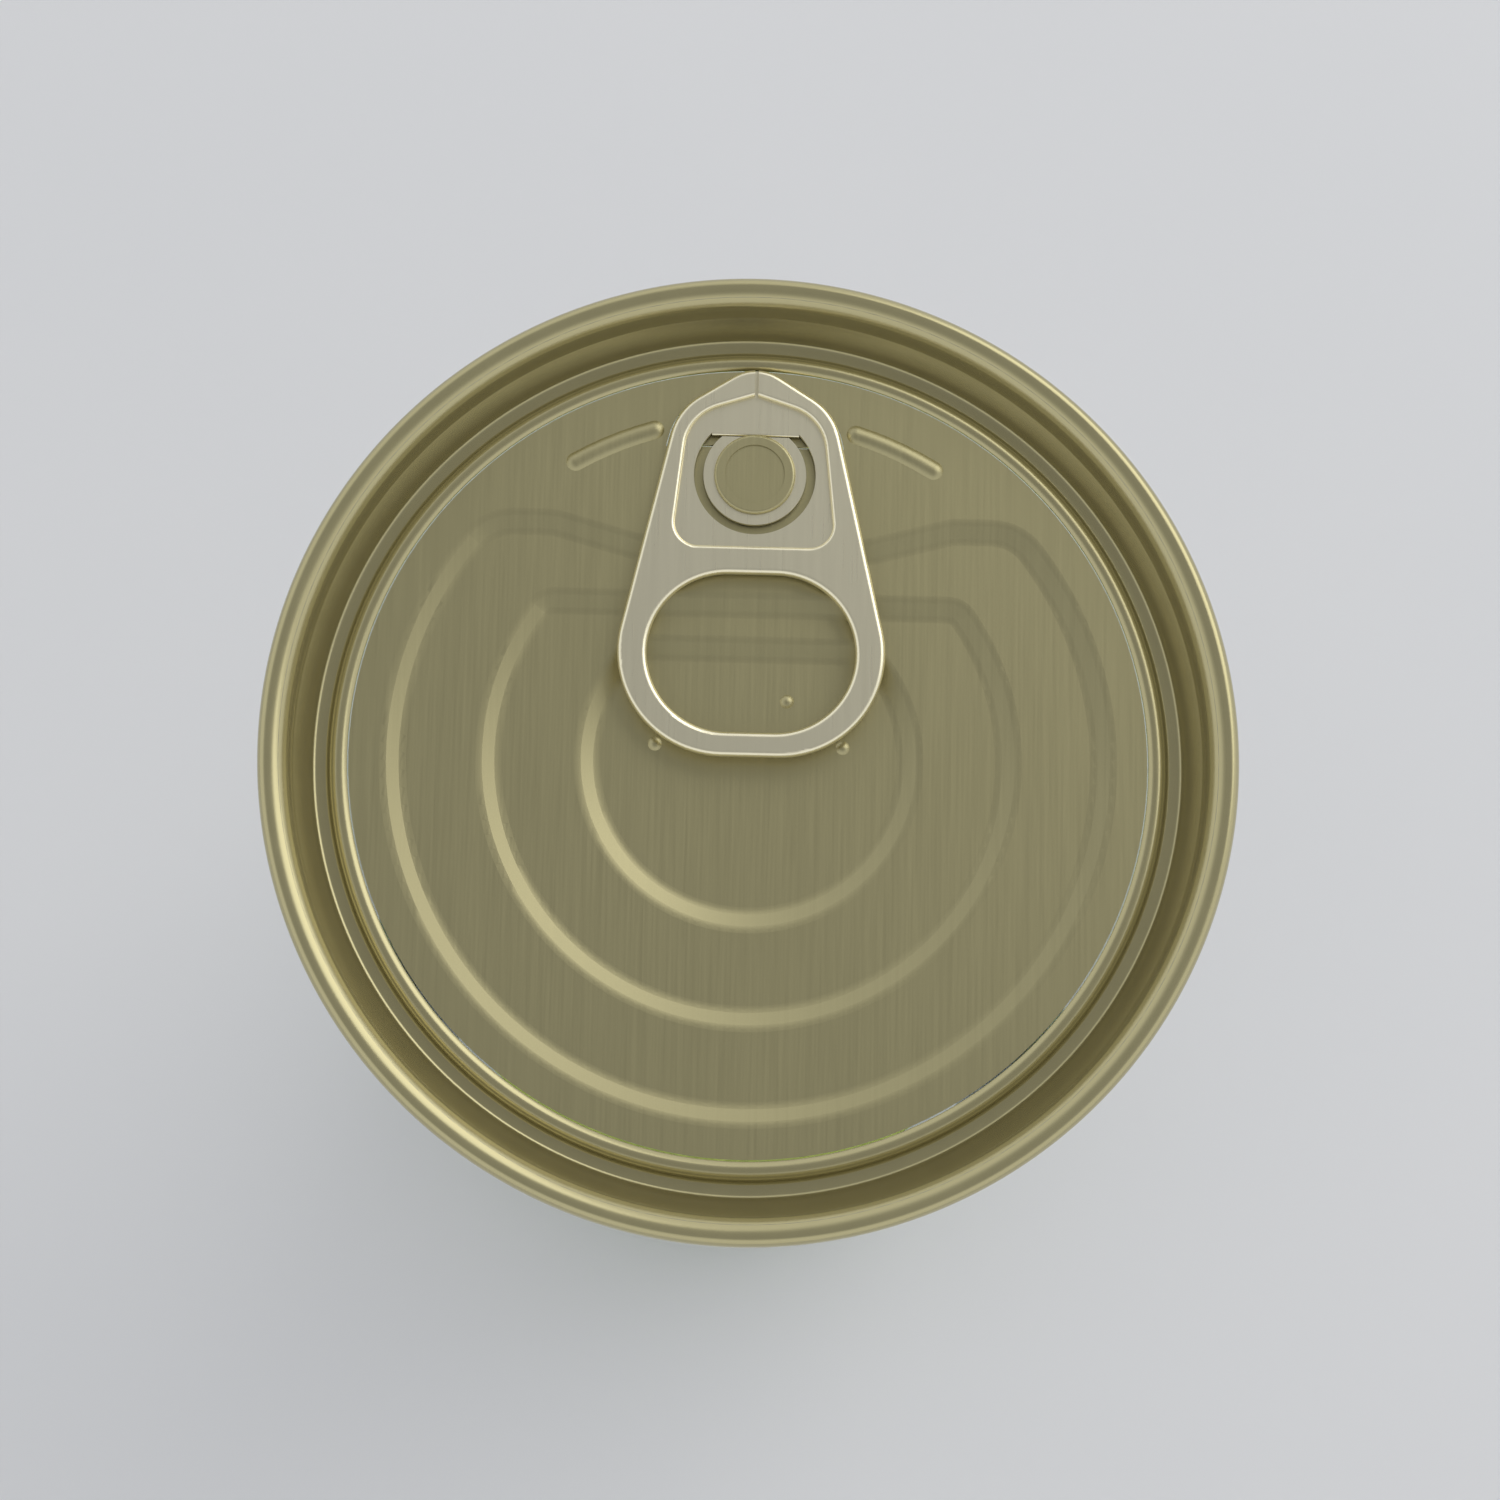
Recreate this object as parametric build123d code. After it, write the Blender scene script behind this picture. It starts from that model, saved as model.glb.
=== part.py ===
from build123d import *
import math
import os

os.makedirs("parts", exist_ok=True)

# A pressurised tube of three tennis balls: a blown plastic body with a ring-pull metal
# end double-seamed on top. Millimetres, +Z up, origin at the middle of the standing ring.
# The nose of the ring-pull points to +Y.

# overall sizes
can_height = 210.0
seam_radius = 40.0

# sheets
end_sheet = 0.25
body_wall = 0.75
body_inner_radius = 37.0
seam_gap = 0.05

# double seam, as heights below the seam top
seam_corner = 0.9
chuck_corner = 0.6
seam_length = 3.35
body_hook_end = 2.6
end_hook_top = 1.6
compound_height = 0.25
neck_start = 9.0
neck_end = 4.2

# end profile inside the seam
countersink_radius = 35.3
countersink_width = 1.5
panel_depth = 4.4
countersink_drop = 1.3
panel_corner = 0.75
score_radius = 33.05
score_gap = 0.12

# base of the body
standing_inner = 29.5
dome_flat_radius = 21.0
dome_rise = 3.4
dome_blend = 11.0
heel_corner = 5.0

# label recess in the body wall
label_bottom = 26.0
label_top = 134.0
label_recess = 0.225
label_thickness = 0.15
label_gap = 0.05

# panel relief: three nested D-shaped steps down
step_depth = 0.45
step_width = 1.6
step_blend = 2.2
outer_d_radius = 29.4
outer_d_shoulder_y = 19.6
outer_d_shoulder_x = 16.7
outer_d_dip_y = 17.7
outer_d_dip_x = 9.8
outer_d_corner = 4.2
middle_d_radius = 21.55
middle_d_chord = 13.0
middle_d_corner = 1.6
inner_d_radius = 13.4
inner_d_chord = 9.3
inner_d_corner = 1.8

# panel beads and nibs
bead_radius = 29.0
bead_tube = 1.2
bead_height = 0.3
bead_from = 17.0
bead_to = 31.2
nib_radius = 0.8
nib_height = 0.25
nib_spots = ((-7.8, 1.2), (7.8, 1.2), (3.1, 5.0))

# integral rivet
rivet_y = 23.85
rivet_shank_radius = 1.7
rivet_boss_radius = 2.2
rivet_boss_height = 0.30
rivet_head_radius = 3.4
rivet_head_thickness = 0.35
rivet_dish_radius = 2.5
rivet_dish_depth = 0.12
fit_gap = 0.05

# ring-pull
tab_clearance = 0.25
tab_thickness = 1.1
tab_edge = 0.42
tab_pocket_edge = 0.3
tab_deck = 0.4
tab_deck_height = 0.35
tab_heel_radius = 8.8
tab_heel_x = 2.3
tab_heel_y = 8.7
tab_shoulder_radius = 5.3
tab_shoulder_x = 1.95
tab_shoulder_y = 26.0
tab_tip_radius = 3.6
tab_tip_y = 32.85
finger_radius = 6.7
finger_x = 1.95
finger_y = 8.6
pocket_corner = 2.0
pocket_corner_x = 4.6
pocket_bottom_y = 17.6
pocket_shoulder_radius = 3.9
pocket_shoulder_x = 2.0
pocket_shoulder_y = 25.9
pocket_tip_radius = 1.0
pocket_tip_y = 30.6
nose_slit_width = 0.3
nose_slit_depth = 0.7
slot_radius = 5.1
tongue_radius = 4.3
bend_y = 27.4
bend_bead = 0.2
bend_gap = 0.08

# patch of panel pushed in by the nose
flap_margin = 0.12
flap_gap = 0.08
flap_hinge_y = 26.6

# balls
ball_radius = 32.8
ball_gap = 0.2
ball_seat = 0.225
ball_count = 3
felt_thickness = 2.8
core_wall = 3.3
core_joint = 0.05
felt_gap = 0.03
felt_seam_width = 2.2
felt_seam_recess = 0.45
felt_seam_gap = 0.05
felt_crossing = 64.0

# derived sizes: the countersink lies below the panel, the core under the felt, and the
# compound under the sheet
countersink_depth = panel_depth + countersink_drop
core_radius = ball_radius - felt_thickness
compound_top = end_sheet + seam_gap

# derived radii of the seam layers, from the outside in
wall_line = seam_radius - end_sheet / 2
body_hook_line = seam_radius - end_sheet - seam_gap - body_wall / 2
end_hook_line = body_hook_line - body_wall / 2 - seam_gap - end_sheet / 2
neck_line = end_hook_line - end_sheet / 2 - seam_gap - body_wall / 2
chuck_line = neck_line - body_wall / 2 - seam_gap - end_sheet / 2
body_line = body_inner_radius + body_wall / 2
panel_z = can_height - panel_depth
deck_z = panel_z + tab_deck_height
bend_z = deck_z + tab_deck / 2
label_inner = body_line - label_recess + body_wall / 2 + label_gap


def at(z, shape):
    """Lift a shape to a height."""
    return Pos(0, 0, z) * shape


def disc(radius, bottom, top):
    """A cylinder on the axis between two heights."""
    return at((bottom + top) / 2, Cylinder(radius, top - bottom))


def ring(inner, outer, bottom, top):
    """A plain ring on the axis between two heights."""
    return disc(outer, bottom, top) - disc(inner, bottom - 1, top + 1)


def side_of_strip(points, radii, shift):
    """The corners and bends of a bent line moved sideways by a signed distance."""
    ways = []
    for (x0, z0), (x1, z1) in zip(points, points[1:]):
        length = math.hypot(x1 - x0, z1 - z0)
        ways.append(((x1 - x0) / length, (z1 - z0) / length))
    moved = [(points[0][0] - ways[0][1] * shift, points[0][1] + ways[0][0] * shift)]
    bends = [0.0]
    for (x, z), (ax, az), (bx, bz), radius in zip(points[1:-1], ways, ways[1:], radii):
        cross = ax * bz - az * bx
        along = shift * (1 - (ax * bx + az * bz)) / cross
        moved.append((x - az * shift - ax * along, z + ax * shift - az * along))
        bends.append(radius - math.copysign(shift, cross * shift) if cross * shift > 0
                     else radius + abs(shift))
    moved.append((points[-1][0] - ways[-1][1] * shift, points[-1][1] + ways[-1][0] * shift))
    return moved, bends + [0.0]


def sheet_of_revolution(points, radii, thickness):
    """Revolve a bent strip of constant thickness about the axis.

    The points are its centre line as radius and height, the radii its inner bends.
    """
    left, left_bends = side_of_strip(points, radii, thickness / 2)
    right, right_bends = side_of_strip(points, radii, -thickness / 2)
    corners = left + right[::-1]
    bends = [abs(r) for r in left_bends + right_bends[::-1]]
    line = FilletPolyline(*corners, radius=bends, close=True)
    section = Plane.XZ * make_face(Wire(line.edges()))
    return revolve(section, Axis.Z, 360)


def outline_of(circles):
    """The tight outline round several circles given as x, y and radius."""
    edges = [Pos(x, y) * Edge.make_circle(r) for x, y, r in circles]
    return make_hull(edges)


def can_body():
    """The blown body: base, heel, label recess, flared neck, flange and body hook."""
    half = body_wall / 2
    fold_z = can_height - compound_top - compound_height - seam_gap - half
    fold = (body_hook_line - neck_line) / 2
    recess_line = body_line - label_recess
    points = [
        (0, dome_rise + half),
        (dome_flat_radius, dome_rise + half),
        (standing_inner, half),
        (body_line, half),
        (body_line, label_bottom - 1),
        (recess_line, label_bottom),
        (recess_line, label_top),
        (body_line, label_top + 1),
        (body_line, can_height - neck_start),
        (neck_line, can_height - neck_end),
        (neck_line, fold_z),
        (body_hook_line, fold_z),
        (body_hook_line, can_height - body_hook_end),
    ]
    radii = [dome_blend, 4.0, heel_corner, 0.8, 0.8, 0.8, 0.8, 6.0, 3.0, fold - 0.001, fold - 0.001]
    return sheet_of_revolution(points, radii, body_wall)


def end_rim():
    """The metal end outside the score: end hook, seam wall, chuck wall and countersink."""
    fold = (wall_line - end_hook_line) / 2
    top_z = can_height - end_sheet / 2
    bottom_z = can_height - countersink_depth - end_sheet / 2
    flat_z = panel_z - end_sheet / 2
    outer_foot = countersink_radius + countersink_width / 2
    inner_foot = countersink_radius - countersink_width / 2
    points = [
        (end_hook_line, can_height - end_hook_top),
        (end_hook_line, can_height - seam_length),
        (wall_line, can_height - seam_length),
        (wall_line, top_z),
        (chuck_line, top_z),
        (chuck_line, can_height - seam_length),
        (outer_foot, bottom_z),
        (inner_foot, bottom_z),
        (inner_foot, flat_z),
        (score_radius + score_gap / 2, flat_z),
    ]
    radii = [fold - 0.001, fold - 0.001, seam_corner, chuck_corner, 1.0, 0.6, 0.5, panel_corner]
    return sheet_of_revolution(points, radii, end_sheet)


def seam_compound():
    """The lining compound in the top of the seam."""
    top = can_height - compound_top
    inner = neck_line
    outer = body_hook_line - 0.2
    return ring(inner, outer, top - compound_height, top)


def label():
    """The plain wrap in the recess of the body."""
    return ring(label_inner, label_inner + label_thickness, label_bottom + 0.6, label_top - 0.6)


def d_outline(radius, chord, corner):
    """A disc cut off by a straight chord towards the nose, its corners rounded."""
    face = Circle(radius) & Pos(0, chord - 100) * Rectangle(200, 200)
    return fillet(face.vertices(), corner)


def outer_d_outline():
    """The outer step, with two round shoulders beside the ring-pull."""
    far = 60
    low = Polyline(
        (-far, -far),
        (far, -far),
        (far, outer_d_shoulder_y),
        (outer_d_shoulder_x, outer_d_shoulder_y),
        (outer_d_dip_x, outer_d_dip_y),
        (-outer_d_dip_x, outer_d_dip_y),
        (-outer_d_shoulder_x, outer_d_shoulder_y),
        (-far, outer_d_shoulder_y),
        (-far, -far),
    )
    face = Circle(outer_d_radius) & make_face(low)
    corners = [v for v in face.vertices() if abs(v.X) > outer_d_shoulder_x + 1]
    face = fillet(corners, outer_d_corner)
    bends = [v for v in face.vertices() if abs(v.X) < outer_d_shoulder_x + 0.01 and v.Y > 0]
    bends = [v for v in bends if min(abs(abs(v.X) - outer_d_dip_x),
                                     abs(abs(v.X) - outer_d_shoulder_x)) < 0.01]
    return fillet(bends, 3.0)


def step_tool(outline, top):
    """The solid removed above one step, with sloping sides."""
    upper = at(top, offset(outline, step_width / 2))
    lower = at(top - step_depth, offset(outline, -step_width / 2))
    return loft([upper, lower], ruled=True)


def arc_bead(start, end):
    """One short raised arc bead, its bearings counted from the nose."""
    sink = bead_tube - bead_height
    path = Edge.make_circle(bead_radius, start_angle=90 + start, end_angle=90 + end)
    path = path.moved(Location((0, 0, panel_z - sink)))
    tube = sweep(Plane(path @ 0, z_dir=path % 0) * Circle(bead_tube), path)
    return tube + Pos(*(path @ 0)) * Sphere(bead_tube) + Pos(*(path @ 1)) * Sphere(bead_tube)


def relief_block():
    """A thick block whose top face is the relief of the panel."""
    block = disc(score_radius + 3, panel_z - 6, panel_z)
    outlines = [
        outer_d_outline(),
        d_outline(middle_d_radius, middle_d_chord, middle_d_corner),
        d_outline(inner_d_radius, inner_d_chord, inner_d_corner),
    ]
    for level, outline in enumerate(outlines):
        block -= step_tool(outline, panel_z - level * step_depth)
    edges = [
        e
        for e in block.edges()
        if e.bounding_box().size.Z < 0.01
        and e.bounding_box().max.Z > panel_z - 3 * step_depth - 0.01
        and (e @ 0.5).X ** 2 + (e @ 0.5).Y ** 2 < 33 ** 2
    ]
    block = fillet(edges, step_blend)
    for start, end in ((bead_from, bead_to), (-bead_to, -bead_from)):
        block += arc_bead(start, end)
    for x, y in nib_spots:
        floor = panel_z - 3 * step_depth
        block += Pos(x, y, floor - nib_radius + nib_height) * Sphere(nib_radius)
    return block


def nose_outline(margin):
    """The ring-pull outline widened by a margin."""
    tip = tab_tip_y - tab_tip_radius
    return outline_of([
        (-tab_heel_x, tab_heel_y, tab_heel_radius + margin),
        (tab_heel_x, tab_heel_y, tab_heel_radius + margin),
        (-tab_shoulder_x, tab_shoulder_y, tab_shoulder_radius + margin),
        (tab_shoulder_x, tab_shoulder_y, tab_shoulder_radius + margin),
        (0, tip, tab_tip_radius + margin),
    ])


def flap_cutter(margin, hinge_gap):
    """The prism that parts the flap from the panel; hinge_gap is its reach past the hinge line."""
    prism = at(panel_z - 3, extrude(nose_outline(margin), 6))
    front = Pos(0, flap_hinge_y - hinge_gap + 50, panel_z) * Box(200, 100, 20)
    return prism & front


def panel_sheet():
    """The relief as one thin sheet, out to the score."""
    block = relief_block()
    sheet = block - at(-end_sheet, block)
    edge = score_radius - score_gap / 2
    return sheet & disc(edge, panel_z - 5, panel_z + 1)


def rivet():
    """The boss, shank and head formed out of the panel."""
    low = panel_z - end_sheet / 2
    boss = panel_z + rivet_boss_height
    head = deck_z + tab_deck + fit_gap
    top = head + rivet_head_thickness
    body = disc(rivet_boss_radius, low, boss) + disc(rivet_shank_radius, low, head + 0.1)
    cap = fillet(disc(rivet_head_radius, head, top).edges().group_by(Axis.Z)[-1], 0.25)
    cap -= disc(rivet_dish_radius, top - rivet_dish_depth, top + 1)
    return Pos(0, rivet_y, 0) * (body + cap)


def tear_panel(sheet):
    """The removable panel with its rivet, open where the flap sits."""
    return sheet - flap_cutter(flap_margin + flap_gap, end_sheet / 2 + flap_gap) + rivet()


def nose_flap(sheet):
    """The patch of panel under the nose."""
    flap = sheet & flap_cutter(flap_margin, end_sheet / 2)
    back = [e for e in flap.edges() if abs((e @ 0.5).Y - flap_hinge_y + end_sheet / 2) < 0.01
            and e.bounding_box().size.X > 5]
    return fillet(back, end_sheet / 2 - 0.01)


def tab_tongue():
    """The tongue held by the rivet, inside the slot of the ring-pull."""
    plate = Pos(0, rivet_y, 0) * disc(tongue_radius, deck_z, deck_z + tab_deck)
    plate -= Pos(0, rivet_y, 0) * disc(rivet_shank_radius + fit_gap, deck_z - 1, deck_z + 1)
    end = bend_y - bend_bead - bend_gap
    return plate & Pos(0, end - 50, deck_z) * Box(100, 100, 10)


def tab_blank():
    """The ring-pull as a rounded plate with its finger hole and sunken deck."""
    bottom = panel_z + tab_clearance
    top = bottom + tab_thickness
    hole = outline_of([(-finger_x, finger_y, finger_radius), (finger_x, finger_y, finger_radius)])
    plate = extrude(nose_outline(0), tab_thickness) - extrude(hole, tab_thickness)
    plate = fillet(plate.edges().group_by(Axis.Z)[-1] + plate.edges().group_by(Axis.Z)[0], tab_edge)
    plate = at(bottom, plate)
    pocket = outline_of([
        (-pocket_corner_x, pocket_bottom_y + pocket_corner, pocket_corner),
        (pocket_corner_x, pocket_bottom_y + pocket_corner, pocket_corner),
        (-pocket_shoulder_x, pocket_shoulder_y, pocket_shoulder_radius),
        (pocket_shoulder_x, pocket_shoulder_y, pocket_shoulder_radius),
        (0, pocket_tip_y - pocket_tip_radius, pocket_tip_radius),
    ])
    well = at(deck_z + tab_deck, extrude(pocket, 2))
    under = at(bottom - 1, extrude(offset(pocket, -0.3), 1 + deck_z - bottom))
    plate = plate - well - under
    lip = [e for e in plate.edges() if e.bounding_box().min.Z > top - 0.01
           and (e @ 0.5).Y > pocket_bottom_y - 0.1 and inside_nose(e @ 0.5)]
    return fillet(lip, tab_pocket_edge)


def inside_nose(point):
    """True for a point well inside the outer edge of the nose."""
    return abs(point.X) < pocket_corner_x + pocket_corner + 0.01 and point.Y < pocket_tip_y + 0.01


def pull_tab():
    """The ring-pull, cut round the rivet tongue and slit at the nose."""
    tab = tab_blank()
    slot = Pos(0, rivet_y, 0) * disc(slot_radius, panel_z, panel_z + 1.0)
    tab -= slot & Pos(0, bend_y - 50, panel_z) * Box(100, 100, 10)
    half = math.sqrt(slot_radius ** 2 - (bend_y - rivet_y) ** 2) - 0.02
    tab += Pos(0, bend_y, bend_z) * Rot(0, 90, 0) * Cylinder(bend_bead, 2 * half)
    top = panel_z + tab_clearance + tab_thickness
    slit_y = pocket_tip_y - 0.4
    slit = Box(nose_slit_width, 6, 2 * nose_slit_depth, align=(Align.CENTER, Align.MIN, Align.CENTER))
    return tab - Pos(0, slit_y, top) * slit


def cone_region(azimuth, elevation, half_angle):
    """A solid cone from the ball centre along a direction."""
    height = ball_radius * 1.6
    cone = Cone(0, height * math.tan(math.radians(half_angle)), height)
    cone = Pos(0, 0, height / 2) * cone
    return Rot(0, 0, azimuth) * Rot(0, 90 - elevation, 0) * cone


def felt_region(turn, shrink):
    """The share of the ball covered by one felt, drawn back from the seam by an angle."""
    phi = math.radians(felt_crossing)
    tilt = math.atan((1 / math.sqrt(2) - math.cos(phi)) / math.sin(phi))
    half_angle = math.degrees(math.acos(math.cos(tilt) / math.sqrt(2)))
    tilt = math.degrees(tilt)
    size = 4 * ball_radius
    region = Pos(0, 0, size / 4) * Box(size, size, size / 2)
    for azimuth in (45, 225):
        region -= cone_region(azimuth, tilt, half_angle + shrink)
    below = Pos(0, 0, -size / 4) * Box(size, size, size / 2)
    for azimuth in (135, 315):
        region += cone_region(azimuth, -tilt, half_angle - shrink) & below
    return turn * region


def ball_parts():
    """The pieces of one ball about its centre: two core halves, two felts and the seam."""
    shell = Sphere(core_radius) - Sphere(core_radius - core_wall)
    size = 4 * ball_radius
    above = Pos(0, 0, size / 4 + core_joint / 2) * Box(size, size, size / 2)
    below = Pos(0, 0, -size / 4 - core_joint / 2) * Box(size, size, size / 2)
    cover = Sphere(ball_radius) - Sphere(core_radius + felt_gap)
    strip = Sphere(ball_radius - felt_seam_recess) - Sphere(core_radius + felt_gap)
    shrink = math.degrees(felt_seam_width / 2 / ball_radius)
    near = shrink - math.degrees(felt_seam_gap / core_radius)
    turns = (Rot(0, 0, 0), Rot(180, 0, 0))
    felts = [cover & felt_region(turn, shrink) for turn in turns]
    for turn in turns:
        strip -= felt_region(turn, near)
    return {
        "core_lower": shell & below,
        "core_upper": shell & above,
        "felt_a": felts[0],
        "felt_b": felts[1],
        "felt_seam": strip,
    }


def ball_centre(index):
    """Height of the centre of one ball, counted from the base."""
    seat = dome_rise + body_wall + ball_seat
    return seat + ball_radius + index * (2 * ball_radius + ball_gap)


def save(shape, name):
    """Write one piece as its own file."""
    solids = shape.solids()
    export_step(solids[0] if len(solids) == 1 else Compound(children=solids), f"parts/{name}.step")


sheet = panel_sheet()
pieces = {
    "can_body": can_body(),
    "label": label(),
    "seam_compound": seam_compound(),
    "end_rim": end_rim(),
    "tear_panel": tear_panel(sheet),
    "nose_flap": nose_flap(sheet),
    "tab_tongue": tab_tongue(),
    "pull_tab": pull_tab(),
}
ball_turns = (Rot(20, 35, 10), Rot(-30, 20, 100), Rot(65, -15, 40))
one_ball = ball_parts()
for index in range(ball_count):
    place = at(ball_centre(index), ball_turns[index % len(ball_turns)])
    for name, shape in one_ball.items():
        pieces[f"ball_{index + 1}_{name}"] = place * shape
for name, shape in pieces.items():
    save(shape, name)
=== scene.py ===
"""Looks of a clear tube of tennis balls closed by a gold ring-pull end."""

import logging
import math
from dataclasses import dataclass
from enum import Enum
from typing import Iterable, Sequence

import bmesh
import bpy
from mathutils import Matrix, Vector, noise

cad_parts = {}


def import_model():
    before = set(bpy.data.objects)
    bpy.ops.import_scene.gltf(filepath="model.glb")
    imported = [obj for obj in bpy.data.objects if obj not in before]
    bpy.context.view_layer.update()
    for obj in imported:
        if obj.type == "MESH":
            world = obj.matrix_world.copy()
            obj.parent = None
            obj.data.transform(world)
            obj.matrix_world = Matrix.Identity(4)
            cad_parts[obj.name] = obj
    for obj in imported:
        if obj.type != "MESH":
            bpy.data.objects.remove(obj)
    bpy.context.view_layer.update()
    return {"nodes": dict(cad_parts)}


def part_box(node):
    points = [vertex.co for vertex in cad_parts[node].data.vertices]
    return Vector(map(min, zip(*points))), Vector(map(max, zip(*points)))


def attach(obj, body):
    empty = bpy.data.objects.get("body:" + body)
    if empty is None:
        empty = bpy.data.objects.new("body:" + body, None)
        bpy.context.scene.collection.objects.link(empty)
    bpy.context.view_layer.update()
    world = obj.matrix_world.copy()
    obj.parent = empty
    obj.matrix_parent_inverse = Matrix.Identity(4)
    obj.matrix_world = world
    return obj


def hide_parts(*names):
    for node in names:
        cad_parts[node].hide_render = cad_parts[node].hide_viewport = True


LOG = logging.getLogger("ball_can")
MM = 0.001
Colour = tuple[float, float, float]
Point2 = tuple[float, float]


class Side(Enum):
    """Which side of a bent strip is meant."""

    LEFT = 1
    RIGHT = -1


class Cover(Enum):
    """The two felts of a ball."""

    A = 1
    B = -1


class Recipe:
    """A material under construction, with short helpers for its nodes."""

    def __init__(self, name: str) -> None:
        """Start an empty material.

        Args:
            name: The material's name.
        """
        self.material = bpy.data.materials.new(name)
        self.material.use_nodes = True
        self.nodes = self.material.node_tree.nodes
        self.links = self.material.node_tree.links
        self.nodes.clear()
        self.output = self.nodes.new("ShaderNodeOutputMaterial")
        self.place = self.nodes.new("ShaderNodeTexCoord").outputs["Object"]

    def principled(self, **values: float | Colour) -> bpy.types.Node:
        """Add the main shader and set its sockets.

        Args:
            values: Socket names with underscores for spaces, and their values.

        Returns:
            The shader node, linked to the output.
        """
        shader = self.nodes.new("ShaderNodeBsdfPrincipled")
        for key, value in values.items():
            socket = shader.inputs[key.replace("_", " ")]
            socket.default_value = (*value, 1.0) if isinstance(value, tuple) else value
        self.links.new(shader.outputs[0], self.output.inputs["Surface"])
        return shader

    def noise(self, scale: Sequence[float], detail: float = 3.0,
              rough: float = 0.5) -> bpy.types.NodeSocket:
        """Add a noise pattern stretched by a scale in each direction.

        Args:
            scale: Cells per metre along X, Y and Z.
            detail: Octaves of detail.
            rough: How strong the fine octaves are.

        Returns:
            The pattern's value socket.
        """
        mapping = self.nodes.new("ShaderNodeMapping")
        mapping.inputs["Scale"].default_value = scale
        pattern = self.nodes.new("ShaderNodeTexNoise")
        pattern.inputs["Scale"].default_value = 1.0
        pattern.inputs["Detail"].default_value = detail
        pattern.inputs["Roughness"].default_value = rough
        self.links.new(self.place, mapping.inputs["Vector"])
        self.links.new(mapping.outputs[0], pattern.inputs["Vector"])
        return pattern.outputs["Fac"]

    def ranged(self, source: bpy.types.NodeSocket, low: float, high: float,
               start: float = 0.3, end: float = 0.7) -> bpy.types.NodeSocket:
        """Map a pattern to a range of values.

        Args:
            source: The pattern.
            low: Value where the pattern is at start.
            high: Value where the pattern is at end.
            start: Lower pattern value.
            end: Upper pattern value.

        Returns:
            The mapped value socket.
        """
        node = self.nodes.new("ShaderNodeMapRange")
        for name, value in (("From Min", start), ("From Max", end), ("To Min", low), ("To Max", high)):
            node.inputs[name].default_value = value
        self.links.new(source, node.inputs["Value"])
        return node.outputs["Result"]

    def blend(self, fraction: bpy.types.NodeSocket, first: Colour | bpy.types.NodeSocket,
              second: Colour | bpy.types.NodeSocket) -> bpy.types.NodeSocket:
        """Blend two colours by a pattern.

        Args:
            fraction: 0 for the first colour and 1 for the second.
            first: A colour or colour socket.
            second: A colour or colour socket.

        Returns:
            The blended colour socket.
        """
        node = self.nodes.new("ShaderNodeMix")
        node.data_type = "RGBA"
        self.links.new(fraction, node.inputs[0])
        for slot, value in ((6, first), (7, second)):
            if isinstance(value, tuple):
                node.inputs[slot].default_value = (*value, 1.0)
            else:
                self.links.new(value, node.inputs[slot])
        return node.outputs[2]

    def bump(self, shader: bpy.types.Node, height: bpy.types.NodeSocket, strength: float,
             distance: float) -> None:
        """Raise a shader's surface by a pattern.

        Args:
            shader: The shader to bump.
            height: The pattern of heights.
            strength: Strength of the bump.
            distance: Height of the bump in metres.
        """
        node = self.nodes.new("ShaderNodeBump")
        node.inputs["Strength"].default_value = strength
        node.inputs["Distance"].default_value = distance
        self.links.new(height, node.inputs["Height"])
        self.links.new(node.outputs[0], shader.inputs["Normal"])


@dataclass(frozen=True)
class RolledSteel:
    """Rolled sheet with a fine straight grain under a coloured lacquer."""

    name: str
    deep: Colour
    pale: Colour
    smooth: float = 0.27
    rough: float = 0.36
    grain: float = 0.35
    lacquer: float = 0.25
    cells: tuple[float, float, float] = (5200.0, 90.0, 300.0)
    relief: float = 0.05
    metal: float = 1.0

    def build(self) -> bpy.types.Material:
        """Build the finish.

        Returns:
            The material.
        """
        recipe = Recipe(self.name)
        shader = recipe.principled(Metallic=self.metal, Coat_Weight=self.lacquer, Coat_Roughness=0.22,
                                   Coat_IOR=1.5)
        streaks = recipe.noise(self.cells, detail=4.0, rough=0.6)
        clouds = recipe.noise((60.0, 45.0, 60.0), detail=2.0)
        fine = recipe.ranged(streaks, 0.5 - self.grain, 0.5 + self.grain)
        tone = recipe.blend(fine, self.deep, self.pale)
        mottle = recipe.ranged(clouds, 0.0, 0.18)
        recipe.links.new(recipe.blend(mottle, tone, self.deep), shader.inputs["Base Color"])
        recipe.links.new(recipe.ranged(streaks, self.smooth, self.rough), shader.inputs["Roughness"])
        recipe.bump(shader, streaks, self.relief, 0.00002)
        return recipe.material


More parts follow.
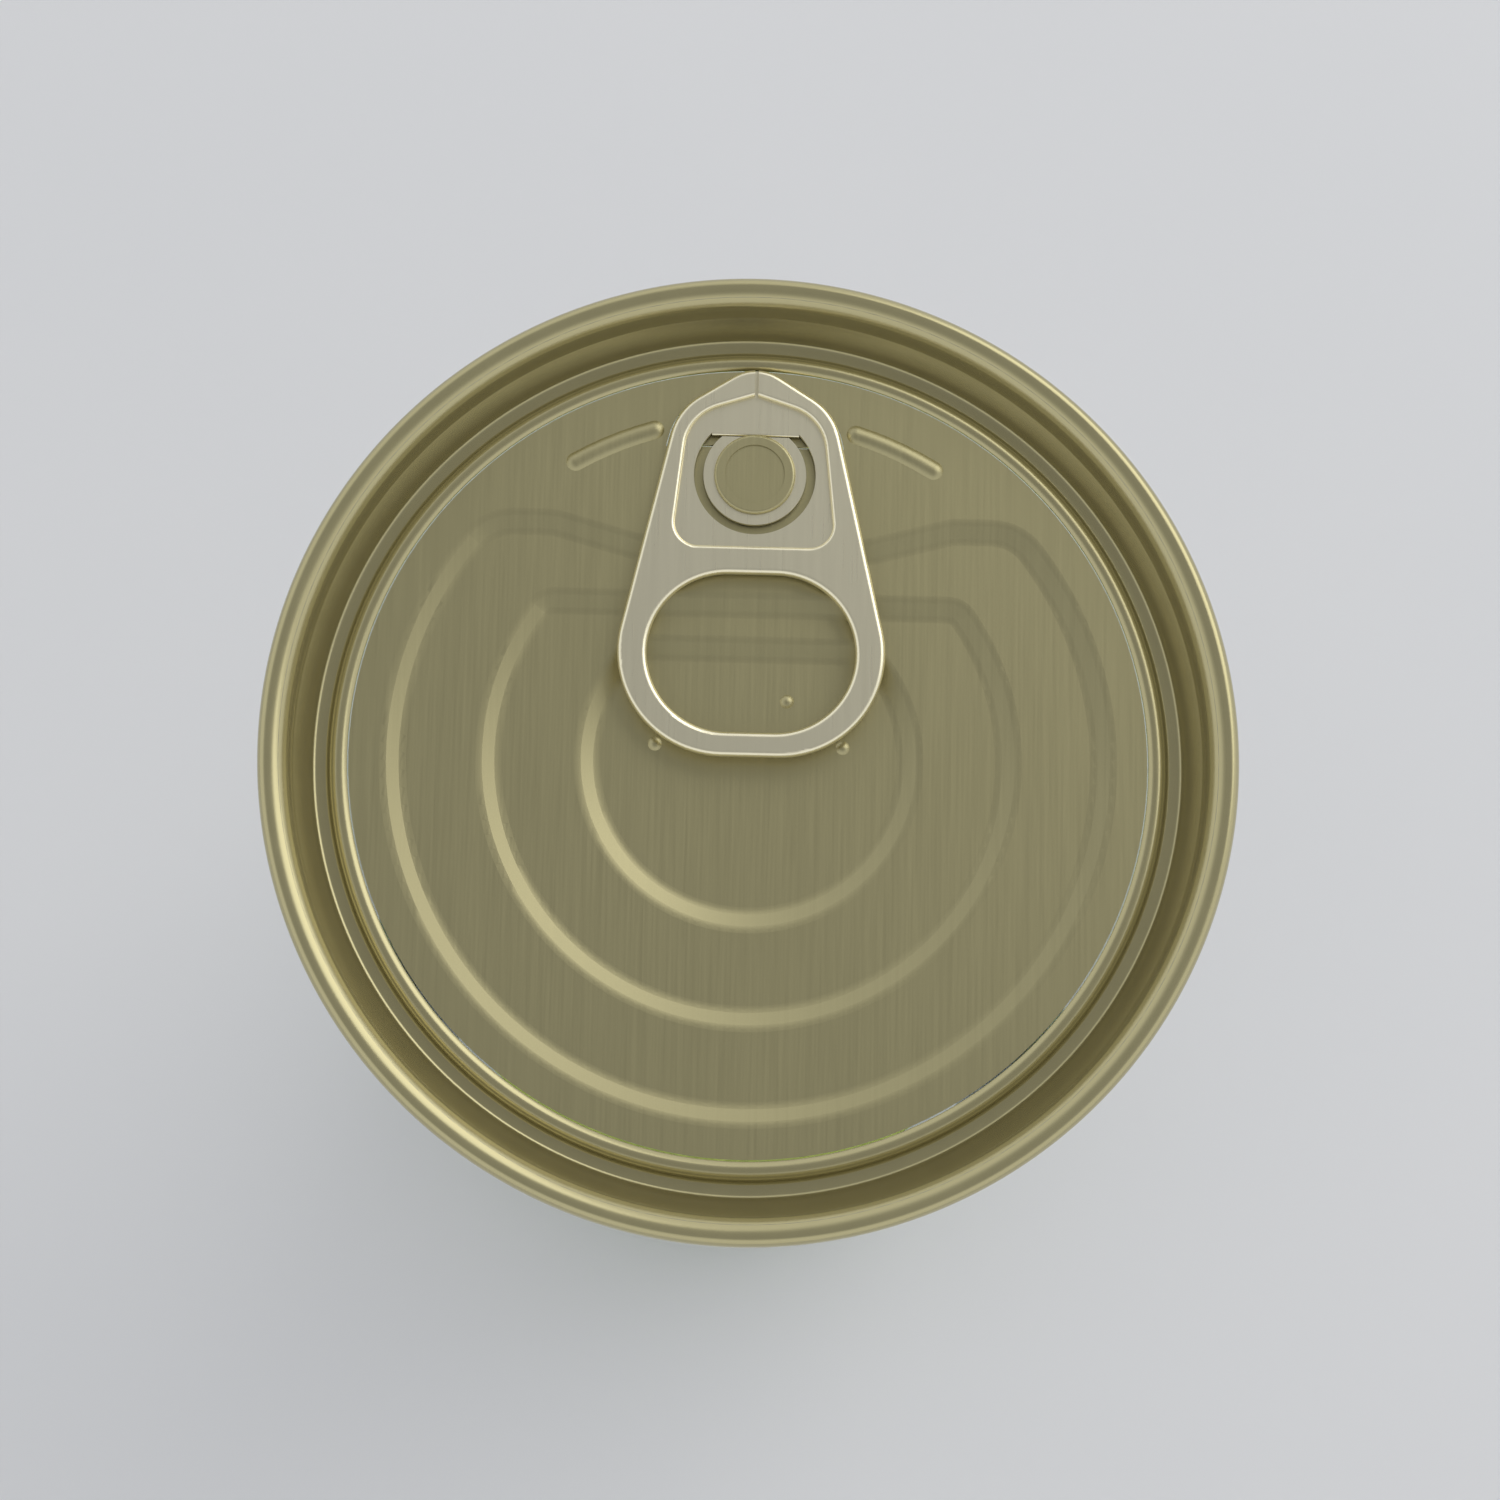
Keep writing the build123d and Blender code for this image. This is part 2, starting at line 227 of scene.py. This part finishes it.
@dataclass(frozen=True)
class ClearPlastic:
    """Thin clear blown plastic: mostly see-through, glossy at a slant."""

    name: str
    tint: Colour = (0.965, 0.98, 0.982)

    def build(self) -> bpy.types.Material:
        """Build the finish.

        Returns:
            The material.
        """
        recipe = Recipe(self.name)
        clear = recipe.nodes.new("ShaderNodeBsdfTransparent")
        clear.inputs["Color"].default_value = (*self.tint, 1.0)
        gloss = recipe.nodes.new("ShaderNodeBsdfPrincipled")
        gloss.inputs["Base Color"].default_value = (0.70, 0.75, 0.76, 1.0)
        gloss.inputs["IOR"].default_value = 1.57
        flow = recipe.noise((70.0, 70.0, 14.0), detail=2.0)
        recipe.links.new(recipe.ranged(flow, 0.03, 0.07), gloss.inputs["Roughness"])
        recipe.bump(gloss, flow, 0.12, 0.0004)
        rim = recipe.nodes.new("ShaderNodeLayerWeight")
        rim.inputs["Blend"].default_value = 0.28
        mix = recipe.nodes.new("ShaderNodeMixShader")
        recipe.links.new(recipe.ranged(rim.outputs["Facing"], 0.03, 0.40, 0.0, 1.0), mix.inputs[0])
        recipe.links.new(clear.outputs[0], mix.inputs[1])
        recipe.links.new(gloss.outputs[0], mix.inputs[2])
        recipe.links.new(mix.outputs[0], recipe.output.inputs["Surface"])
        return recipe.material


@dataclass(frozen=True)
class WrapFilm:
    """Unprinted satin film."""

    name: str
    base: Colour = (0.76, 0.76, 0.73)
    shade: Colour = (0.73, 0.73, 0.70)

    def build(self) -> bpy.types.Material:
        """Build the finish.

        Returns:
            The material.
        """
        recipe = Recipe(self.name)
        shader = recipe.principled(Coat_Weight=0.2, Coat_Roughness=0.3)
        waves = recipe.noise((14.0, 14.0, 30.0), detail=2.0)
        fibre = recipe.noise((2500.0, 2500.0, 2500.0), detail=2.0)
        tone = recipe.blend(recipe.ranged(waves, 0.0, 1.0), self.base, self.shade)
        recipe.links.new(tone, shader.inputs["Base Color"])
        recipe.links.new(recipe.ranged(fibre, 0.38, 0.5), shader.inputs["Roughness"])
        recipe.bump(shader, waves, 0.15, 0.0003)
        return recipe.material


@dataclass(frozen=True)
class NappedFelt:
    """Napped woven felt."""

    name: str
    deep: Colour = (0.36, 0.47, 0.03)
    pale: Colour = (0.68, 0.80, 0.10)

    def build(self) -> bpy.types.Material:
        """Build the finish.

        Returns:
            The material.
        """
        recipe = Recipe(self.name)
        shader = recipe.principled(Roughness=0.95, Sheen_Weight=0.5, Sheen_Roughness=0.45,
                                   Sheen_Tint=(0.9, 1.0, 0.5))
        tufts = recipe.noise((900.0, 900.0, 900.0), detail=5.0, rough=0.7)
        fibre = recipe.noise((4200.0, 4200.0, 4200.0), detail=3.0, rough=0.7)
        clouds = recipe.noise((110.0, 110.0, 110.0), detail=3.0)
        tone = recipe.blend(recipe.ranged(tufts, 0.0, 1.0, 0.35, 0.6), self.deep, self.pale)
        soft = recipe.blend(recipe.ranged(clouds, 0.0, 0.3), tone, self.pale)
        recipe.links.new(soft, shader.inputs["Base Color"])
        mixed = recipe.nodes.new("ShaderNodeMath")
        mixed.operation = "ADD"
        recipe.links.new(tufts, mixed.inputs[0])
        recipe.links.new(fibre, mixed.inputs[1])
        recipe.bump(shader, mixed.outputs[0], 0.9, 0.0006)
        return recipe.material


@dataclass(frozen=True)
class DullMoulding:
    """Matt moulded rubber, cement or lining compound."""

    name: str
    deep: Colour
    pale: Colour
    cells: float = 1800.0
    rough: float = 0.7

    def build(self) -> bpy.types.Material:
        """Build the finish.

        Returns:
            The material.
        """
        recipe = Recipe(self.name)
        shader = recipe.principled()
        pores = recipe.noise((self.cells,) * 3, detail=4.0)
        clouds = recipe.noise((90.0, 90.0, 90.0), detail=2.0)
        recipe.links.new(recipe.blend(recipe.ranged(clouds, 0.0, 1.0), self.deep, self.pale),
                         shader.inputs["Base Color"])
        shine = recipe.ranged(pores, self.rough - 0.1, self.rough + 0.1)
        recipe.links.new(shine, shader.inputs["Roughness"])
        recipe.bump(shader, pores, 0.25, 0.0001)
        return recipe.material


@dataclass(frozen=True)
class Finishes:
    """Every finish of the can, built once."""

    gold: bpy.types.Material
    seamed: bpy.types.Material
    tab: bpy.types.Material
    clear: bpy.types.Material
    film: bpy.types.Material
    felt: bpy.types.Material
    cement: bpy.types.Material
    core: bpy.types.Material
    compound: bpy.types.Material

    @classmethod
    def build(cls) -> "Finishes":
        """Build all finishes.

        Returns:
            The set of materials.
        """
        return cls(
            gold=RolledSteel("gold_lacquer", (0.425, 0.385, 0.21), (0.47, 0.428, 0.238),
                             smooth=0.38, rough=0.44, grain=0.25).build(),
            seamed=RolledSteel("gold_lacquer_seamed", (0.46, 0.415, 0.225), (0.49, 0.443, 0.242),
                               smooth=0.23, rough=0.26, grain=0.2, relief=0.0, metal=0.8,
                               cells=(260.0, 260.0, 260.0)).build(),
            tab=RolledSteel("tab_lacquer", (0.88, 0.82, 0.60), (0.93, 0.87, 0.645),
                            smooth=0.27, rough=0.31, grain=0.15, lacquer=0.15, relief=0.0).build(),
            clear=ClearPlastic("clear_body_plastic").build(),
            film=WrapFilm("wrap_film").build(),
            felt=NappedFelt("ball_felt").build(),
            cement=DullMoulding("seam_cement", (0.62, 0.64, 0.50), (0.78, 0.79, 0.66)).build(),
            core=DullMoulding("core_rubber", (0.025, 0.025, 0.025), (0.05, 0.05, 0.05)).build(),
            compound=DullMoulding("seam_compound", (0.09, 0.10, 0.10), (0.14, 0.15, 0.14)).build(),
        )


def add_piece(name: str, mesh: bmesh.types.BMesh, material: bpy.types.Material, body: str) -> bpy.types.Object:
    """Turn a bmesh into a smooth shaded piece that rides on a body.

    Args:
        name: The piece's name.
        mesh: The finished bmesh, which is freed.
        material: Its finish.
        body: The body it rides on.

    Returns:
        The new object.
    """
    data = bpy.data.meshes.new(name)
    mesh.to_mesh(data)
    mesh.free()
    data.polygons.foreach_set("use_smooth", [True] * len(data.polygons))
    data.materials.append(material)
    piece = bpy.data.objects.new(name, data)
    bpy.context.scene.collection.objects.link(piece)
    if body:
        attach(piece, body)
        LOG.info("%s: %d faces on %s", name, len(data.polygons), body)
    return piece


@dataclass
class BentSheet:
    """A sheet of constant thickness, bent along a line and spun about the can's axis.

    The line is given as radius and height in millimetres, with a bend radius at each corner.
    """

    name: str
    line: Sequence[Point2]
    bends: Sequence[float]
    thickness: float
    segments: int = 8
    steps: int = 256

    def side(self, side: Side) -> tuple[list[Point2], list[float]]:
        """Offset the line to one side.

        Args:
            side: The side to offset to.

        Returns:
            The offset corners and their bend radii.
        """
        shift = side.value * self.thickness / 2
        ways = [((b - a) for a, b in zip(p, q)) for p, q in zip(self.line, self.line[1:])]
        units = [Vector(tuple(way)).normalized() for way in ways]
        ends = (Vector(self.line[0]), Vector(self.line[-1]))
        corners = [tuple(ends[0] + shift * Vector((-units[0].y, units[0].x)))]
        bends = [0.0]
        for point, before, after, bend in zip(self.line[1:-1], units, units[1:], self.bends):
            turn = before.x * after.y - before.y * after.x
            along = shift * (1 - before.dot(after)) / turn
            corners.append(tuple(Vector(point) + shift * Vector((-before.y, before.x)) - along * before))
            bends.append(abs(bend - math.copysign(abs(shift), turn * shift)))
        corners.append(tuple(ends[1] + shift * Vector((-units[-1].y, units[-1].x))))
        return corners, bends + [0.0]

    def section(self) -> bmesh.types.BMesh:
        """Draw the closed section, its corners rounded by vertex bevels.

        Returns:
            A bmesh that holds the outline of the section.
        """
        left, left_bends = self.side(Side.LEFT)
        right, right_bends = self.side(Side.RIGHT)
        corners = left + right[::-1]
        bends = left_bends + right_bends[::-1]
        mesh = bmesh.new()
        verts = [mesh.verts.new((x * MM, 0.0, z * MM)) for x, z in corners]
        mesh.faces.new(verts)
        total = len(corners)
        for index, bend in enumerate(bends):
            if bend <= 0:
                continue
            here = Vector(corners[index])
            before = (here - Vector(corners[index - 1])).normalized()
            after = (Vector(corners[(index + 1) % total]) - here).normalized()
            angle = before.angle(after)
            bmesh.ops.bevel(mesh, geom=[verts[index]], offset=bend * math.tan(angle / 2) * MM * 0.999,
                            offset_type="OFFSET", segments=self.segments, profile=0.5,
                            affect="VERTICES", material=-1)
        bmesh.ops.delete(mesh, geom=list(mesh.faces), context="FACES_ONLY")
        return mesh

    def spun(self) -> bmesh.types.BMesh:
        """Spin the section round the axis.

        Returns:
            The closed solid as a bmesh.
        """
        mesh = self.section()
        bmesh.ops.spin(mesh, geom=list(mesh.verts) + list(mesh.edges), cent=(0, 0, 0), axis=(0, 0, 1),
                       angle=math.tau, steps=self.steps, use_merge=True, use_duplicate=False)
        bmesh.ops.remove_doubles(mesh, verts=list(mesh.verts), dist=1e-7)
        bmesh.ops.recalc_face_normals(mesh, faces=list(mesh.faces))
        return mesh


@dataclass
class MetalEnd:
    """The rim of the double-seamed end, in millimetres.

    Heights are depths below the seam top. The CAD's own panel, flap, tongue and ring-pull
    stay as they are and only take a finish.
    """

    height: float = 210.0
    seam_radius: float = 40.0
    sheet: float = 0.25
    hook_line: float = 38.775
    chuck_line: float = 37.675
    foot_outer: float = 36.05
    foot_inner: float = 34.55
    seam_length: float = 3.35
    hook_top: float = 1.6
    countersink: float = 5.7
    panel_depth: float = 4.4
    score_edge: float = 33.11
    wall_bend: float = 0.9
    chuck_bend: float = 1.5
    low_bend: float = 1.0
    foot_outer_bend: float = 0.6
    foot_inner_bend: float = 0.5
    ledge_bend: float = 0.75
    fold_slack: float = 0.001

    def rim(self, finishes: Finishes) -> bpy.types.Object:
        """Build the rim outside the score.

        Args:
            finishes: The can's finishes.

        Returns:
            The rim.
        """
        wall = self.seam_radius - self.sheet / 2
        top = self.height - self.sheet / 2
        floor = self.height - self.countersink - self.sheet / 2
        flat = self.height - self.panel_depth - self.sheet / 2
        low = self.height - self.seam_length
        fold = (wall - self.hook_line) / 2 - self.fold_slack
        line = [(self.hook_line, self.height - self.hook_top), (self.hook_line, low), (wall, low),
                (wall, top), (self.chuck_line, top), (self.chuck_line, low), (self.foot_outer, floor),
                (self.foot_inner, floor), (self.foot_inner, flat), (self.score_edge, flat)]
        bends = [fold, fold, self.wall_bend, self.chuck_bend, self.low_bend, self.foot_outer_bend,
                 self.foot_inner_bend, self.ledge_bend]
        sheet = BentSheet("end_rim_metal", line, bends, self.sheet, segments=10, steps=320)
        piece = add_piece(sheet.name, sheet.spun(), finishes.seamed, "can")
        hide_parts("end_rim")
        return piece


@dataclass
class BlownBody:
    """The clear body and the wrap outside it, in millimetres."""

    height: float = 210.0
    wall: float = 0.75
    body_line: float = 37.375
    neck_line: float = 38.225
    hook_line: float = 39.325
    recess: float = 0.225
    label_low: float = 26.0
    label_high: float = 134.0
    recess_slope: float = 1.0
    seam_cover: float = 0.6
    flange_end: float = 207.4
    neck_low: float = 201.0
    neck_high: float = 205.8
    dome_flat: float = 21.0
    dome_rise: float = 3.4
    standing_ring: float = 29.5
    wrap_skin: float = 0.12

    def shell(self, finishes: Finishes) -> bpy.types.Object:
        """Build the clear body.

        Args:
            finishes: The can's finishes.

        Returns:
            The body.
        """
        half = self.wall / 2
        fold_z = self.height - self.seam_cover - half
        fold = (self.hook_line - self.neck_line) / 2 - 0.001
        inset = self.body_line - self.recess
        dome_z = self.dome_rise + half
        line = [(0.0, dome_z), (self.dome_flat, dome_z), (self.standing_ring, half),
                (self.body_line, half), (self.body_line, self.label_low - self.recess_slope),
                (inset, self.label_low), (inset, self.label_high),
                (self.body_line, self.label_high + self.recess_slope),
                (self.body_line, self.neck_low), (self.neck_line, self.neck_high),
                (self.neck_line, fold_z), (self.hook_line, fold_z), (self.hook_line, self.flange_end)]
        bends = [11.0, 4.0, 5.0, 0.8, 0.8, 0.8, 0.8, 6.0, 3.0, fold, fold]
        sheet = BentSheet("clear_body", line, bends, self.wall, segments=6, steps=192)
        piece = add_piece(sheet.name, sheet.spun(), finishes.clear, "can")
        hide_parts("can_body")
        return piece

    def wrap(self, finishes: Finishes) -> bpy.types.Object:
        """Build the plain wrap.

        Args:
            finishes: The can's finishes.

        Returns:
            The wrap.
        """
        low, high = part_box("label")
        outer = high[0]
        mesh = bmesh.new()
        bmesh.ops.create_circle(mesh, segments=256, radius=outer - 0.00002)
        bmesh.ops.translate(mesh, verts=list(mesh.verts), vec=(0, 0, low[2]))
        made = bmesh.ops.extrude_edge_only(mesh, edges=list(mesh.edges))
        verts = [item for item in made["geom"] if isinstance(item, bmesh.types.BMVert)]
        bmesh.ops.translate(mesh, verts=verts, vec=(0, 0, high[2] - low[2]))
        bmesh.ops.recalc_face_normals(mesh, faces=list(mesh.faces))
        bmesh.ops.solidify(mesh, geom=list(mesh.faces), thickness=self.wrap_skin * MM)
        bmesh.ops.recalc_face_normals(mesh, faces=list(mesh.faces))
        piece = add_piece("wrap_sleeve", mesh, finishes.film, "can")
        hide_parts("label")
        return piece


@dataclass
class TennisBall:
    """One ball: two felts rolled into the seam, and the seam strip between them."""

    index: int
    turn: tuple[float, float, float]
    radius: float = 32.8
    crossing: float = 64.0
    half_seam: float = 1.15
    groove: float = 1.3
    nap: float = 0.16

    def __post_init__(self) -> None:
        """Work out the seam's four arcs and the ball's place."""
        phi = math.radians(self.crossing)
        self.tilt = math.atan((1 / math.sqrt(2) - math.cos(phi)) / math.sin(phi))
        self.cone = math.acos(math.cos(self.tilt) / math.sqrt(2))
        low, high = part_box(f"ball_{self.index}_felt_a")
        other_low, other_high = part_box(f"ball_{self.index}_felt_b")
        corners = (*(Vector(p) for p in (low, high, other_low, other_high)),)
        centre = [(min(c[i] for c in corners) + max(c[i] for c in corners)) / 2 for i in range(3)]
        turns = [Matrix.Rotation(math.radians(a), 4, axis) for a, axis in zip(self.turn, "XYZ")]
        self.place = Matrix.Translation((0.0, 0.0, centre[2])) @ turns[0] @ turns[1] @ turns[2]

    def axis(self, azimuth: float, tilt: float) -> Vector:
        """Point a way round and up from the ball's equator.

        Args:
            azimuth: Turn about the upright axis, in degrees.
            tilt: Rise over the equator, in radians.

        Returns:
            The unit direction.
        """
        turn = math.radians(azimuth)
        return Vector((math.cos(turn) * math.cos(tilt), math.sin(turn) * math.cos(tilt), math.sin(tilt)))

    def reach(self, way: Vector) -> float:
        """Signed distance from the seam line over the ball, positive on felt A.

        Args:
            way: A unit direction from the ball's centre.

        Returns:
            The distance in millimetres.
        """
        if way.z > 0:
            nearest = min(way.angle(self.axis(a, self.tilt)) for a in (45, 225))
            return (nearest - self.cone) * self.radius
        nearest = min(way.angle(self.axis(a, -self.tilt)) for a in (135, 315))
        return (self.cone - nearest) * self.radius

    def seam_points(self, count: int = 48) -> list[Vector]:
        """Points along the closed seam.

        Args:
            count: Points on each of the four arcs.

        Returns:
            Unit directions in order.
        """
        points: list[Vector] = []
        for quarter in range(4):
            sign = 1 if quarter % 2 == 0 else -1
            centre = self.axis(45 + 90 * quarter, sign * self.tilt)
            start = self.axis(90 * quarter, 0.0)
            end = self.axis(90 * quarter + 90, 0.0)
            first = (start - centre * start.dot(centre)).normalized()
            last = (end - centre * end.dot(centre)).normalized()
            sweep = math.tau - first.angle(last)
            if (centre.cross(first)).z * sign < 0:
                sweep = -sweep
            for step in range(count):
                turned = Matrix.Rotation(sweep * step / count, 3, centre) @ first
                points.append((centre * math.cos(self.cone) + turned * math.sin(self.cone)).normalized())
        return points

    def felt(self, cover: Cover, finishes: Finishes) -> bpy.types.Object:
        """Build one felt.

        Args:
            cover: Which of the two.
            finishes: The can's finishes.

        Returns:
            The felt.
        """
        mesh = bmesh.new()
        bmesh.ops.create_icosphere(mesh, subdivisions=6, radius=self.radius * MM)
        reach = {}
        for vert in mesh.verts:
            way = vert.co.normalized()
            away = self.reach(way) * cover.value
            reach[vert] = away
            edge = min(max((away + 0.4) / (self.half_seam + 0.7), 0.0), 1.0)
            drop = self.groove * (1 - math.sqrt(1 - (1 - edge) ** 2)) if edge < 1 else 0.0
            tuft = noise.noise(vert.co * 900.0) * 0.6 + noise.noise(vert.co * 2300.0) * 0.4
            vert.co = way * (self.radius - self.nap * 1.2 - drop + self.nap * tuft) * MM
        gone = [face for face in mesh.faces if max(reach[v] for v in face.verts) < -0.2]
        bmesh.ops.delete(mesh, geom=gone, context="FACES")
        bmesh.ops.transform(mesh, matrix=self.place, verts=list(mesh.verts))
        name = f"ball_{self.index}_felt_{cover.name.lower()}"
        piece = add_piece(f"{name}_nap", mesh, finishes.felt, f"ball_{self.index}")
        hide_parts(name)
        return piece

    def seam(self, finishes: Finishes) -> bpy.types.Object:
        """Build the seam strip.

        Args:
            finishes: The can's finishes.

        Returns:
            The seam.
        """
        ways = self.seam_points()
        mesh = bmesh.new()
        rings = []
        sides = 12
        for index, way in enumerate(ways):
            ahead = (ways[(index + 1) % len(ways)] - ways[index - 1]).normalized()
            across = way.cross(ahead).normalized()
            ring = []
            for side in range(sides):
                turn = math.tau * side / sides
                spot = way * (self.radius - 1.25 + 0.85 * math.sin(turn)) + across * 1.25 * math.cos(turn)
                ring.append(mesh.verts.new(spot * MM))
            rings.append([mesh.edges.new((ring[s], ring[(s + 1) % sides])) for s in range(sides)])
        for first, second in zip(rings, rings[1:] + rings[:1]):
            bmesh.ops.bridge_loops(mesh, edges=first + second)
        bmesh.ops.recalc_face_normals(mesh, faces=list(mesh.faces))
        bmesh.ops.transform(mesh, matrix=self.place, verts=list(mesh.verts))
        body = f"ball_{self.index}"
        piece = add_piece(f"{body}_seam_strip", mesh, finishes.cement, body)
        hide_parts(f"ball_{self.index}_felt_seam")
        return piece

    def build(self, finishes: Finishes) -> None:
        """Build the whole ball.

        Args:
            finishes: The can's finishes.
        """
        for cover in Cover:
            self.felt(cover, finishes)
        self.seam(finishes)


@dataclass
class Studio:
    """Floor, lights and camera, in metres and degrees.

    Walls and ceiling are the strengths of the room's light low down and overhead, and the
    two heights between are those where the one starts and stops to turn into the other.
    """

    aim_height: float = 0.210
    distance: float = 0.250
    tilt: float = 9.82
    bearing: float = -96.2
    roll: float = 1.16
    lens: float = 73.93
    walls: float = 0.92
    ceiling: float = 0.33
    walls_end: float = 0.66
    ceiling_start: float = 0.95

    def floor(self) -> None:
        """Lay the pale floor."""
        recipe = Recipe("studio_floor")
        shader = recipe.principled(Roughness=0.85)
        grain = recipe.noise((12.0, 12.0, 12.0), detail=2.0)
        recipe.links.new(recipe.blend(grain, (0.76, 0.765, 0.78), (0.79, 0.79, 0.80)),
                         shader.inputs["Base Color"])
        mesh = bmesh.new()
        bmesh.ops.create_grid(mesh, x_segments=8, y_segments=8, size=3.0)
        add_piece("studio_floor", mesh, recipe.material, "")

    def lamp(self, name: str, place: Vector, size: float, power: float, colour: Colour) -> None:
        """Hang one soft square lamp, turned to the top of the can.

        Args:
            name: Its name.
            place: Where it hangs, in metres.
            size: Its side, in metres.
            power: Its power, in watts.
            colour: Its colour.
        """
        data = bpy.data.lights.new(name, "AREA")
        data.shape, data.size, data.energy, data.color = "SQUARE", size, power, colour
        lamp = bpy.data.objects.new(name, data)
        lamp.location = place
        aim = Vector((0.0, 0.0, self.aim_height)) - place
        lamp.rotation_euler = aim.to_track_quat("-Z", "Y").to_euler()
        bpy.context.scene.collection.objects.link(lamp)

    def lights(self) -> None:
        """Hang the lamps and set the room's own light."""
        world = bpy.data.worlds.new("room")
        world.use_nodes = True
        nodes, links = world.node_tree.nodes, world.node_tree.links
        back = nodes["Background"]
        back.inputs[0].default_value = (0.96, 0.975, 1.0, 1.0)
        split = nodes.new("ShaderNodeSeparateXYZ")
        links.new(nodes.new("ShaderNodeTexCoord").outputs["Generated"], split.inputs[0])
        height = nodes.new("ShaderNodeMapRange")
        height.interpolation_type = "SMOOTHSTEP"
        for name, value in (("From Min", self.walls_end), ("From Max", self.ceiling_start),
                            ("To Min", self.walls), ("To Max", self.ceiling)):
            height.inputs[name].default_value = value
        links.new(split.outputs["Z"], height.inputs["Value"])
        links.new(height.outputs["Result"], back.inputs[1])
        bpy.context.scene.world = world
        self.lamp("key", Vector((0.66, 0.62, 0.95)), 1.00, 3.6, (1.0, 0.985, 0.95))

    def camera(self) -> None:
        """Set up the camera above the end."""
        tilt, bearing, roll = (math.radians(a) for a in (self.tilt, self.bearing, self.roll))
        away = Vector((math.sin(tilt) * math.cos(bearing), math.sin(tilt) * math.sin(bearing),
                       math.cos(tilt)))
        place = Vector((0.0, -0.00013, self.aim_height)) + away * self.distance
        right = (-away).cross(Vector((-math.sin(roll), math.cos(roll), 0.0))).normalized()
        up = right.cross(-away)
        data = bpy.data.cameras.new("camera")
        data.lens, data.sensor_width, data.clip_start = self.lens, 36.0, 0.01
        camera = bpy.data.objects.new("camera", data)
        turn = Matrix((right, up, away)).transposed().to_4x4()
        camera.matrix_world = Matrix.Translation(place) @ turn
        bpy.context.scene.collection.objects.link(camera)
        bpy.context.scene.camera = camera

    def build(self) -> None:
        """Set up the whole studio."""
        self.floor()
        self.lights()
        self.camera()


def dress(frame: dict, names: Iterable[str], material: bpy.types.Material) -> None:
    """Give CAD nodes a finish.

    Args:
        frame: The loaded frame.
        names: The nodes.
        material: Their finish.
    """
    for name in names:
        data = frame["nodes"][name].data
        data.materials.clear()
        data.materials.append(material)


def main() -> None:
    """Build the can's looks in order."""
    logging.basicConfig(level=logging.INFO)
    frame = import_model()
    finishes = Finishes.build()
    dress(frame, ("end_rim", "tear_panel", "nose_flap"), finishes.gold)
    dress(frame, ("tab_tongue", "pull_tab"), finishes.tab)
    dress(frame, ("can_body",), finishes.clear)
    dress(frame, ("label",), finishes.film)
    dress(frame, ("seam_compound",), finishes.compound)
    for index in (1, 2, 3):
        dress(frame, (f"ball_{index}_core_lower", f"ball_{index}_core_upper"), finishes.core)
        dress(frame, (f"ball_{index}_felt_a", f"ball_{index}_felt_b"), finishes.felt)
        dress(frame, (f"ball_{index}_felt_seam",), finishes.cement)
    MetalEnd().rim(finishes)
    body = BlownBody()
    body.shell(finishes)
    body.wrap(finishes)
    for index, turn in enumerate(((20, 35, 10), (-30, 20, 100), (65, -15, 40)), start=1):
        TennisBall(index, turn).build(finishes)
    Studio().build()
    bpy.context.scene.view_settings.view_transform = "Standard"


if __name__ == "__main__":
    main()
